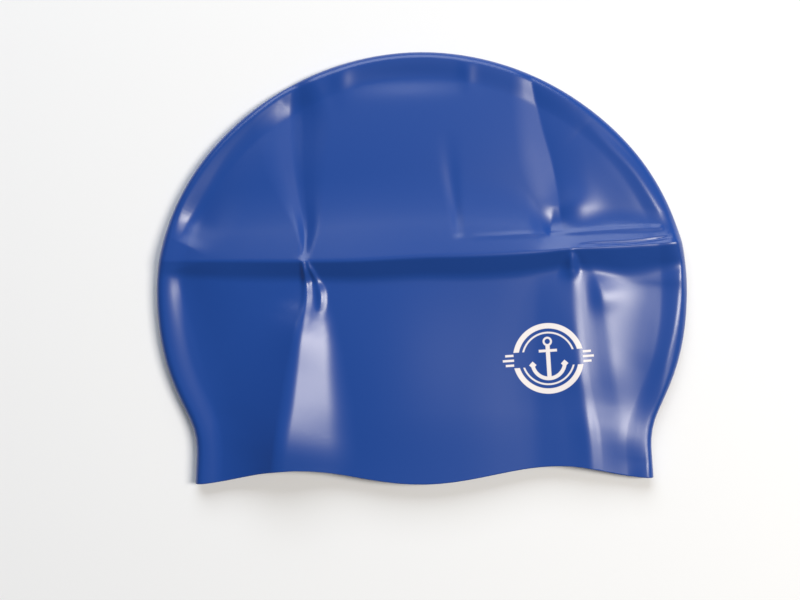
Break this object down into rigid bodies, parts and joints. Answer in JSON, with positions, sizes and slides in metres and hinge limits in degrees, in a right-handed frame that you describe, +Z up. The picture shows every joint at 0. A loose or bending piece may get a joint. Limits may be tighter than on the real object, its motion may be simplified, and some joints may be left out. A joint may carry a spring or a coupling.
{
  "type": "swim cap",
  "caption": "One-piece moulded silicone swim cap lying empty and flat, with an open mouth for the head, rounded edges and packet creases.",
  "frame": {"origin": "on the floor under the middle of the lying cap's bounding box", "axes": "+Z up from the floor, +Y from the mouth to the crown, +X across the cap to the right as seen from above"},
  "size_m": [0.22, 0.1788, 0.0146],
  "materials": {
    "silicone": "smooth satin blue silicone"
  },
  "bodies": {
    "root": {"cap_shell": "silicone"}
  },
  "joints": []
}
